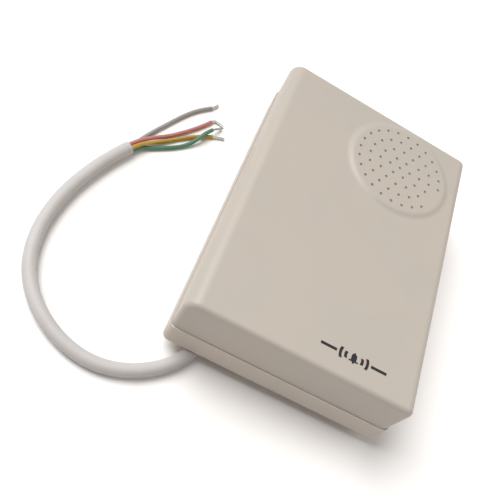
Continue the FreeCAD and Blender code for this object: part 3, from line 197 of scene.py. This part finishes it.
# %% [markdown]
# A core ends in a bare length of fine tinned strands that are twisted together. They are real tubes
# and not a bump, because their outline shows against the table: one strand in the middle and a ring
# of six round it. Each follows points that are read from the smooth line of the tip.

# %% Strands of a bared core
STRANDS = 6
STRAND_SHARE = 1 / 3
LAY_LENGTH = 0.0065
LINE_STEPS = 10


def read_line(route):
    """Points along the smooth line that a route makes."""
    guide = lay_curve("guide", [route], 0, LINE_STEPS)
    guide.data.bevel_depth = 0
    mesh = bpy.data.meshes.new_from_object(guide)
    places = [vertex.co.copy() for vertex in mesh.vertices]
    bpy.data.meshes.remove(mesh)
    bpy.data.objects.remove(guide)
    return places


def twist_strands(name, route, bundle_radius):
    """One straight strand in the middle and a ring of strands wound round it."""
    line = read_line(route)
    strand_radius = bundle_radius * STRAND_SHARE
    ring_radius = bundle_radius - strand_radius
    rings = [[] for strand in range(STRANDS)]
    travelled = 0.0
    for number, place in enumerate(line):
        if number:
            travelled += (place - line[number - 1]).length
        ahead = line[min(number + 1, len(line) - 1)] - line[max(number - 1, 0)]
        ahead.normalize()
        across = ahead.cross(Vector((0, 0, 1))).normalized()
        above = across.cross(ahead)
        for strand in range(STRANDS):
            angle = 2 * math.pi * (strand / STRANDS + travelled / LAY_LENGTH)
            outward = across * math.cos(angle) + above * math.sin(angle)
            rings[strand].append(place + outward * ring_radius)
    return lay_curve(name, [line] + rings, strand_radius, smoothness=2, roundness=2)


# %% [markdown]
# Each core and its tip take the place of the plain rounds of the measured model. They belong to the
# base, so they stay on the table when the cover is lifted.

# %% Cores and bare tips
TIP_RADIUS = 0.0005
TIP_EXIT = 0.0016
TIP_ROUTES = {
    "grey": [(-0.0195, 0.0528, 0.0006)],
    "red": [(-0.0161, 0.0435, 0.0006), (-0.0134, 0.0428, 0.0006)],
    "yellow": [(-0.0107, 0.0370, 0.0006)],
    "green": [(-0.0136, 0.0414, 0.0006)],
}
cores = {}
tips = {}
for colour, route in core_routes.items():
    core = lay_curve("core_wire_" + colour, [route], CORE_RADIUS)
    exit_point = route[-1] + (route[-1] - route[-2]).normalized() * TIP_EXIT
    tip_route = [route[-1], exit_point] + [from_left(*place) for place in TIP_ROUTES[colour]]
    tip = twist_strands("bare_strands_" + colour, tip_route, TIP_RADIUS)
    for thing, node, slot in ((core, "core_", "insulation_" + colour), (tip, "tip_", "tinned_metal")):
        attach(thing, "base")
        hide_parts(node + colour)
    cores[colour] = core
    tips[colour] = tip
print("cores:", ", ".join(cores))

# %% [markdown]
# All five cords end bare, and a bell cable is neither limp nor stiff.

# %% [markdown]
# Shader maths reads best as plain sums. A signal below wraps the output of a node, so adding,
# multiplying or comparing signals adds the matching nodes.

# %% Signals
class Signal:
    """The output of a shader node, ready for plain sums."""

    def __init__(self, finish, socket):
        self.finish = finish
        self.socket = socket

    def sum_of(self, operation, first, second):
        return self.finish.node("ShaderNodeMath", {"operation": operation}, {0: first, 1: second})

    def __add__(self, other):
        return self.sum_of("ADD", self, other)

    def __sub__(self, other):
        return self.sum_of("SUBTRACT", self, other)

    def __mul__(self, other):
        return self.sum_of("MULTIPLY", self, other)

    def __pow__(self, other):
        return self.sum_of("POWER", self, other)

    def __abs__(self):
        return self.finish.node("ShaderNodeMath", {"operation": "ABSOLUTE"}, {0: self})

    def __gt__(self, other):
        return self.sum_of("GREATER_THAN", self, other)

    def __lt__(self, other):
        return self.sum_of("LESS_THAN", self, other)

    __radd__ = __add__
    __rmul__ = __mul__


# %% [markdown]
# A finish is one material under construction. Its patterns are noises in the object's own space, in
# metres, so they keep their grain on a large shell and on a tiny screw alike.

# %% Finishes
class Finish:
    """One material: its node tree, its main shader and one way to add any node."""

    def __init__(self, name, base_color, roughness, metallic=0.0):
        self.material = bpy.data.materials.new(name)
        self.material.use_nodes = True
        self.tree = self.material.node_tree
        self.shader = self.tree.nodes["Principled BSDF"]
        self.place = self.node("ShaderNodeTexCoord", out="Object")
        self.set("Base Color", (*base_color, 1.0))
        self.set("Roughness", roughness)
        self.set("Metallic", metallic)

    def node(self, kind, settings=None, links=None, out=0):
        made = self.tree.nodes.new(kind)
        for name, value in (settings or {}).items():
            setattr(made, name, value)
        for key, value in (links or {}).items():
            self.feed(made.inputs[key], value)
        return Signal(self, made.outputs[out])

    def feed(self, socket, value):
        if isinstance(value, Signal):
            self.tree.links.new(value.socket, socket)
        else:
            socket.default_value = value

    def set(self, name, value):
        self.feed(self.shader.inputs[name], value)

    def along(self, axis):
        """The place on the object along x, y or z, in metres."""
        return self.node("ShaderNodeSeparateXYZ", {}, {"Vector": self.place}, out="XYZ".index(axis))

    def from_axis(self, centre):
        """The distance from an upright axis."""
        return ((self.along("X") - centre.x) ** 2 + (self.along("Y") - centre.y) ** 2) ** 0.5

    def noise(self, per_metre, detail, stretch=None):
        place = self.place
        if stretch is not None:
            place = self.node("ShaderNodeMapping", {}, {"Vector": place, "Scale": stretch})
        links = {"Vector": place, "Scale": per_metre, "Detail": detail}
        return self.node("ShaderNodeTexNoise", {}, links)

    def mix(self, share, first, second):
        """One colour turning into another as the share goes from 0 to 1."""
        links = {0: share}
        for key, colour in ((6, first), (7, second)):
            links[key] = (*colour, 1.0) if isinstance(colour, tuple) else colour
        return self.node("ShaderNodeMix", {"data_type": "RGBA"}, links, out=2)

    def spread(self, signal, low, high):
        """Stretches the middle of a noise to the whole range from 0 to 1."""
        return self.node("ShaderNodeMapRange", {"clamp": True}, {0: signal, 1: low, 2: high})

    def bump(self, height, depth, strength):
        links = {"Height": height, "Distance": depth, "Strength": strength}
        self.set("Normal", self.node("ShaderNodeBump", {}, links))

    def on(self, *names):
        """Gives this finish to measured parts."""
        for name in names:
            for surface in nodes[name].material_slots:
                surface.material = self.material
        return self

    def coat(self, thing):
        """Gives this finish to a piece that this script made."""
        thing.data.materials.clear()
        thing.data.materials.append(self.material)
        return self


# %% [markdown]
# Some finishes change at a given place on a part, such as a stripe or a bare end. Most of those places
# are counted from the part's own box, so they follow when a size of the measured model changes.

# %% Where a part lies
def middle_of(node):
    low, high = (Vector(corner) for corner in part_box(node))
    return (low + high) / 2


def top_of(node):
    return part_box(node)[1][2]


# %% [markdown]
# The case is moulded in a warm off-white plastic with a fine satin grain, which comes from the sparked
# steel of the mould. Old plastic isn't one flat colour, so two tones drift into each other over a few
# centimetres. The base is painted a shade paler than the cover, as painted light against the shade on
# the lower end. The grain is only in the bump and the roughness. The bores of the grille are painted
# paler than the front, in place of light that bounces inside them, and at the lower end the sharp
# upper edge of the base carries a fine painted highlight.

# %% Case plastic
GRILLE_RADIUS = 0.0192
BORES_BELOW_FRONT = (0.0001, 0.003)
SEAM = 0.016
# Heights of a painted highlight along the upper edge of the base.
PAINTED_HIGHLIGHT_HEIGHTS = (SEAM - 0.0003, SEAM + 0.00004)
LOWER_END = -0.0618

case = Finish("case_plastic", (0.45, 0.40, 0.35), 0.42)
drift = case.spread(case.noise(28, 3.0), 0.35, 0.65)
grain = case.noise(7000, 2.0)
cover_tone = case.mix(drift, (0.463, 0.410, 0.355), (0.443, 0.405, 0.356))
# Painted light: the base is paler than the cover to offset the shade on the lower end.
painted_light_base_tone = case.mix(drift, (0.525, 0.460, 0.395), (0.505, 0.454, 0.396))
# Painted highlight tone for the upper edge of the base.
painted_highlight_tone = (0.66, 0.59, 0.52)
# Painted light tone for the bores of the grille.
painted_bore_light_tone = (0.74, 0.68, 0.62)

height = case.along("Z")
bore_top, bore_foot = (top_of("front_cover") - depth for depth in BORES_BELOW_FRONT)
in_grille = case.from_axis(middle_of("speaker_gasket")) < GRILLE_RADIUS
# The bores are painted paler, in place of light that bounces inside them.
painted_light_in_bore = in_grille * (height < bore_top) * (height > bore_foot)
highlight_foot, highlight_top = PAINTED_HIGHLIGHT_HEIGHTS
# A fine painted highlight on the upper edge of the base at the lower end.
on_painted_highlight = (height < highlight_top) * (height > highlight_foot) * (case.along("Y") < LOWER_END)
# The base below the seam takes the paler tone of painted light, the cover its own tone.
halves_with_painted_light = case.mix(height < SEAM, cover_tone, painted_light_base_tone)
case.set("Base Color", case.mix(painted_light_in_bore, case.mix(on_painted_highlight, halves_with_painted_light, painted_highlight_tone), painted_bore_light_tone))
case.set("Roughness", 0.40 + 0.06 * case.noise(180, 3.0) + 0.05 * grain)
case.bump(grain * 0.7 + case.noise(1500, 2.0) * 0.3, 0.00003, 0.5)
case.on("rear_base", "front_cover", "cable_clamp")
print("the bores are pale down to", round(1000 * bore_foot, 1), "mm above the wall")

# %% [markdown]
# The mark is pad printed: flat black ink with a slightly uneven gloss. It is a thin part of the measured
# model, so it needs only its ink here.

# %% Printed mark
ink = Finish("print_ink", (0.012, 0.012, 0.013), 0.5)
ink.set("Roughness", 0.42 + 0.2 * ink.noise(2500, 2.0))
ink.bump(ink.noise(9000, 2.0), 0.00001, 0.4)
ink.on("front_mark")
print("the mark's face is", round(1000 * top_of("front_mark"), 2), "mm above the wall")

# %% [markdown]
# The sheath is soft white vinyl. It has a faint gloss and long shallow swellings where the cores twist
# under it. The cores are glossier vinyl in four colours, and the loudspeaker's leads are red and black.

# %% Vinyl of the cable and its cores
def vinyl(name, colour, second_colour, gloss):
    finish = Finish(name, colour, gloss)
    drift = finish.spread(finish.noise(120, 3.0), 0.35, 0.65)
    finish.set("Base Color", finish.mix(drift, colour, second_colour))
    finish.set("Roughness", gloss + 0.1 * finish.noise(700, 3.0))
    finish.bump(finish.noise(260, 1.0) + 0.15 * finish.noise(4000, 2.0), 0.00008, 0.35)
    return finish


sheath = vinyl("cable_jacket", (0.525, 0.502, 0.486), (0.500, 0.478, 0.462), 0.52)
sheath.coat(cable).coat(mouth).on("cable_inner")
CORE_COLOURS = {
    "grey": ((0.335, 0.320, 0.300), (0.305, 0.290, 0.270)),
    "red": ((0.520, 0.200, 0.170), (0.480, 0.175, 0.150)),
    "yellow": ((0.465, 0.305, 0.055), (0.425, 0.275, 0.050)),
    "green": ((0.085, 0.212, 0.140), (0.075, 0.190, 0.124)),
    "black": ((0.020, 0.020, 0.020), (0.030, 0.030, 0.030)),
}
insulation = {}
for colour, tones in CORE_COLOURS.items():
    insulation[colour] = vinyl("insulation_" + colour, *tones, 0.28)
for colour, core in cores.items():
    insulation[colour].coat(core).on("inner_core_" + colour)
insulation["red"].on("speaker_lead_red")
insulation["black"].on("speaker_lead_black")
print("vinyls:", 1 + len(insulation))

# %% [markdown]
# Bare metal comes next: tinned copper and solder, zinc-plated screws, and the passivated steel of the
# loudspeaker. Each has fine streaks or blotches in its roughness, which make metal read as metal.

# %% Metals
def metal(name, colour, second_colour, roughness, blotches):
    finish = Finish(name, colour, roughness, 1.0)
    patches = finish.spread(finish.noise(blotches, 4.0), 0.3, 0.7)
    finish.set("Base Color", finish.mix(patches, colour, second_colour))
    finish.set("Roughness", roughness + 0.15 * patches)
    finish.bump(finish.noise(blotches * 4, 3.0), 0.00002, 0.5)
    return finish


tinned = metal("tinned_metal", (0.72, 0.71, 0.69), (0.60, 0.59, 0.57), 0.25, 900)
tinned.on("solder_joints", "chip_legs", "transistor_legs", "speaker_tags")
for tip in tips.values():
    tinned.coat(tip)
zinc = metal("screw_steel", (0.62, 0.63, 0.65), (0.52, 0.53, 0.55), 0.3, 700)
zinc.on("speaker_screws", "board_screws", "clamp_screws", "terminal_screws")
basket = metal("basket_steel", (0.55, 0.56, 0.57), (0.42, 0.43, 0.45), 0.38, 90)
basket.on("speaker_basket")
plated = metal("plated_steel", (0.66, 0.60, 0.45), (0.52, 0.50, 0.42), 0.32, 120)
plated.on("speaker_top_plate", "speaker_yoke")
copper = metal("copper_wire", (0.72, 0.33, 0.17), (0.55, 0.22, 0.12), 0.3, 1500)
copper.on("voice_coil_winding")
print("tinned tips:", ", ".join(tips))

# %% [markdown]
# The loudspeaker behind the grille is small and plain. Its cone is black paper with short fibres
# pressed into it, so two noises that are stretched across each other make the fibres. The cap in its
# middle is a smooth film, and a thin rubber roll holds the cone's edge.

# %% Cone, cap and surround
cone = Finish("cone_paper", (0.03, 0.03, 0.03), 0.8)
fibres = cone.noise(1400, 5.0, (1.0, 3.0, 1.0)) * cone.noise(1400, 5.0, (3.0, 1.0, 1.0))
fibre_share = cone.spread(fibres, 0.15, 0.4)
cone.set("Base Color", cone.mix(fibre_share, (0.022, 0.022, 0.022), (0.075, 0.07, 0.065)))
cone.bump(fibres, 0.0002, 0.7)
cone.on("speaker_cone")

cap = Finish("cap_film", (0.03, 0.03, 0.035), 0.35)
cap.set("Roughness", 0.3 + 0.15 * cap.noise(400, 3.0))
cap.bump(cap.noise(2500, 2.0), 0.00004, 0.4)
cap.on("dust_cap")

rubber = Finish("surround_rubber", (0.02, 0.02, 0.02), 0.6)
rubber.set("Roughness", 0.5 + 0.25 * rubber.noise(500, 3.0))
rubber.bump(rubber.noise(3000, 3.0), 0.00005, 0.5)
rubber.on("cone_surround")
print("the cone lies", round(1000 * top_of("speaker_cone"), 1), "mm above the wall")

# %% [markdown]
# A ring of foam seals the loudspeaker against the cover. Foam is a heap of small round cells, which is
# what a Voronoi pattern draws. The spider below the cone is woven cloth: two wave patterns, one along
# each axis, make its threads.

# %% Foam and cloth
foam = Finish("foam", (0.045, 0.045, 0.05), 0.95)
cells = foam.node("ShaderNodeTexVoronoi", {}, {"Vector": foam.place, "Scale": 2600.0})
cell_share = foam.spread(cells, 0.1, 0.6)
foam.set("Base Color", foam.mix(cell_share, (0.02, 0.02, 0.022), (0.08, 0.08, 0.085)))
foam.bump(cells, 0.0003, 0.9)
foam.on("speaker_gasket")

cloth = Finish("spider_cloth", (0.6, 0.4, 0.18), 0.85)
weave = [cloth.node("ShaderNodeTexWave", {"bands_direction": axis},
                    {"Vector": cloth.place, "Scale": 900.0}) for axis in ("X", "Y")]
threads = weave[0] * 0.5 + weave[1] * 0.5
cloth.set("Base Color", cloth.mix(threads, (0.42, 0.27, 0.10), (0.66, 0.46, 0.22)))
cloth.bump(threads, 0.0001, 0.8)
cloth.on("cone_spider")
print("woven from", len(weave), "waves")

# %% [markdown]
# The coil is wound on a tube of amber film, and the magnet is sintered ferrite, which is dark, matt
# and a little rough, like slate.

# %% Coil former and magnet
former = Finish("former_foil", (0.6, 0.36, 0.12), 0.3)
former.set("Roughness", 0.25 + 0.15 * former.noise(900, 2.0))
former.bump(former.noise(3000, 2.0), 0.00002, 0.4)
former.on("voice_coil_former")

ferrite = Finish("ferrite", (0.045, 0.045, 0.05), 0.6, 0.3)
ferrite.set("Roughness", 0.5 + 0.3 * ferrite.noise(600, 5.0))
ferrite.bump(ferrite.noise(2200, 5.0), 0.0001, 0.6)
ferrite.on("speaker_magnet")
print("the magnet's top is", round(1000 * top_of("speaker_magnet"), 1), "mm above the wall")

# %% [markdown]
# The circuit board is brown paper laminate, with its fibres all lying one way. The chip and the
# transistor are moulded in a matt black resin.

# %% Circuit board and moulded parts
board = Finish("board_laminate", (0.42, 0.27, 0.12), 0.45)
paper = board.noise(900, 4.0, (1.0, 4.0, 1.0))
paper_share = board.spread(paper, 0.3, 0.7)
board.set("Base Color", board.mix(paper_share, (0.36, 0.22, 0.09), (0.47, 0.31, 0.15)))
board.set("Roughness", 0.4 + 0.2 * paper)
board.bump(paper, 0.00004, 0.4)
board.on("circuit_board", "speaker_tag_board")

moulding = Finish("chip_black", (0.02, 0.02, 0.02), 0.5)
moulding.set("Roughness", 0.45 + 0.3 * moulding.noise(2500, 3.0))
moulding.bump(moulding.noise(5000, 2.0), 0.00004, 0.5)
moulding.on("melody_chip", "driver_transistor")
print("the board's top side is", round(1000 * top_of("circuit_board"), 1), "mm above the wall")

# %% [markdown]
# The trimmer is blue with a white rotor and the terminal block is green, the colours that such parts
# have. They differ only in tone and gloss, so one helper makes all three.

# %% Trimmer and terminal block
def board_part(name, colour, second_colour, roughness, node):
    finish = Finish(name, colour, roughness)
    drift = finish.spread(finish.noise(400, 3.0), 0.3, 0.7)
    finish.set("Base Color", finish.mix(drift, colour, second_colour))
    finish.set("Roughness", roughness + 0.12 * finish.noise(1500, 3.0))
    finish.bump(finish.noise(3500, 2.0), 0.00003, 0.5)
    finish.on(node)
    print(node, "is finished")


board_part("trimmer_blue", (0.03, 0.12, 0.42), (0.03, 0.10, 0.36), 0.35, "volume_trimmer")
board_part("trimmer_white", (0.72, 0.72, 0.68), (0.66, 0.66, 0.62), 0.4, "trimmer_rotor")
board_part("terminal_green", (0.05, 0.30, 0.13), (0.04, 0.26, 0.11), 0.4, "terminal_block")

# %% [markdown]
# Some parts have two finishes in one piece. Resistors and diodes have colour bands round their bodies
# and bare wires beyond them, and ceramic discs stand on bare wires. The place along the part decides
# where one finish ends and the other starts.

# %% A body with bare wires
WIRE = (0.62, 0.61, 0.59)


def wired_part(name, node, colour, second_colour, roughness):
    """A lacquered body whose tone still drifts; its wires are added by the caller."""
    finish = Finish(name, colour, roughness).on(node)
    drift = finish.spread(finish.noise(500, 3.0), 0.3, 0.7)
    tone = finish.mix(drift, colour, second_colour)
    finish.set("Roughness", roughness + 0.1 * finish.noise(1500, 3.0))
    finish.bump(finish.noise(3500, 2.0), 0.00003, 0.5)
    return finish, tone


def finish_wires(finish, tone, is_wire):
    finish.set("Base Color", finish.mix(is_wire, tone, WIRE))
    finish.set("Metallic", is_wire)


# %% [markdown]
# A resistor tells its value by bands, three close together and one apart, and a diode has one pale band
# that marks its cathode. The discs are brown down to their wires. The bands are plain comparisons along
# the body, because a band that is printed on such a small part has no relief to speak of.

# %% Resistors, diode and ceramic discs
BAND_HALF_WIDTH = 0.0003
RESISTOR_BANDS = [
    (-0.0025, (0.30, 0.10, 0.03)), (-0.0011, (0.02, 0.02, 0.02)),
    (0.0001, (0.62, 0.10, 0.04)), (0.0024, (0.55, 0.38, 0.10)),
]
RESISTOR_HALF_LENGTH = 0.0032
DIODE_HALF_LENGTH = 0.00212
DIODE_BAND = 0.0014
DISC_HEIGHT = 0.0056

resistor, tone = wired_part("resistor_beige", "resistors", (0.58, 0.44, 0.27), (0.52, 0.38, 0.22), 0.3)
from_middle = resistor.along("X") - middle_of("resistors").x
for offset, colour in RESISTOR_BANDS:
    tone = resistor.mix(abs(from_middle - offset) < BAND_HALF_WIDTH, tone, colour)
finish_wires(resistor, tone, abs(from_middle) > RESISTOR_HALF_LENGTH)

diode, tone = wired_part(
    "diode_black", "rectifier_diode", (0.02, 0.02, 0.02), (0.035, 0.035, 0.035), 0.35)
from_middle = diode.along("X") - middle_of("rectifier_diode").x
tone = diode.mix(abs(from_middle - DIODE_BAND) < BAND_HALF_WIDTH, tone, (0.55, 0.55, 0.54))
finish_wires(diode, tone, abs(from_middle) > DIODE_HALF_LENGTH)

disc, tone = wired_part(
    "ceramic_brown", "ceramic_capacitors", (0.55, 0.24, 0.06), (0.48, 0.20, 0.05), 0.4)
finish_wires(disc, tone, disc.along("Z") < top_of("ceramic_capacitors") - DISC_HEIGHT)
print("bands on each resistor:", len(RESISTOR_BANDS))

# %% [markdown]
# An electrolytic capacitor is a metal can in a dark blue shrunk sleeve. The sleeve has a pale stripe
# down one side, and it leaves the can's top bare inside a narrow lip.

# %% Electrolytic capacitors
STRIPE_HALF_WIDTH = 0.0011
BARE_TOP = 0.0002
SLEEVE_LIP = 0.0006
for can in ("large_capacitor", "small_capacitor"):
    sleeve = Finish("can_sleeve_" + can.split("_")[0], (0.02, 0.03, 0.10), 0.25).on(can)
    centre, top = middle_of(can), top_of(can)
    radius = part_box(can)[1][0] - centre.x
    near_stripe = abs(sleeve.along("X") - centre.x) < STRIPE_HALF_WIDTH
    stripe = near_stripe * (sleeve.along("Y") < centre.y)
    blue = sleeve.mix(sleeve.noise(300, 2.0), (0.020, 0.030, 0.100), (0.030, 0.040, 0.130))
    inside_lip = sleeve.from_axis(centre) < radius - SLEEVE_LIP
    is_top = (sleeve.along("Z") > top - BARE_TOP) * inside_lip
    scored = sleeve.mix(sleeve.noise(2500, 3.0), (0.55, 0.55, 0.56), (0.68, 0.68, 0.69))
    wrapped = sleeve.mix(stripe, blue, (0.55, 0.57, 0.60))
    sleeve.set("Base Color", sleeve.mix(is_top, wrapped, scored))
    sleeve.set("Metallic", is_top)
    sleeve.set("Roughness", 0.25 + 0.1 * sleeve.noise(900, 3.0))
    sleeve.bump(sleeve.noise(1200, 2.0), 0.00004, 0.4)
    print(can, "is", round(2000 * radius, 1), "mm wide")

# %% [markdown]
# The table is a pale seamless sheet, so nothing draws the eye from the chime.

# %% Table
bpy.ops.object.select_all(action="DESELECT")
bpy.ops.mesh.primitive_plane_add(size=6.0, location=(0, 0, 0))
table = bpy.context.object
table.name = "table"
Finish("table_top", (0.94, 0.925, 0.91), 0.7).coat(table)
print("the table is", round(table.dimensions.x, 1), "m wide")

# %% [markdown]
# The light is one large soft window high on the left, a little towards the top of the case. The front
# and the left side are bright, and the lower end falls into shade. A weak fill from the right and a
# warm even sky keep the shade open. Both lamps are suns with a wide disc, because a sun lights the
# whole table alike and a wide disc makes its shadows soft. The Standard view transform shows the pale
# table as white, as it is in the photograph.

# %% Light
def soft_light(name, place, disc_degrees, power):
    """A far, wide light that shines from a place towards the middle of the table."""
    bpy.ops.object.light_add(type="SUN", location=place)
    lamp = bpy.context.object
    lamp.name = name
    lamp.data.angle = math.radians(disc_degrees)
    lamp.data.energy = power
    lamp.rotation_euler = (-Vector(place)).to_track_quat("-Z", "Y").to_euler()
    print(name, "has power", power)


soft_light("key_window", (-0.63, 0.27, 1.05), 46, 3.40)
soft_light("right_fill", (0.90, 0.20, 0.70), 60, 0.55)

SKY_COLOUR = (1.0, 0.935, 0.895, 1.0)
SKY_STRENGTH = 0.27
sky = bpy.data.worlds.new("sky")
sky.use_nodes = True
sky_light = sky.node_tree.nodes["Background"]
sky_light.inputs["Color"].default_value = SKY_COLOUR
sky_light.inputs["Strength"].default_value = SKY_STRENGTH
bpy.context.scene.world = sky
bpy.context.scene.view_settings.view_transform = "Standard"

# %% [markdown]
# The last cell brings the scene up to date.

# %% Last update of the scene
bpy.context.view_layer.update()
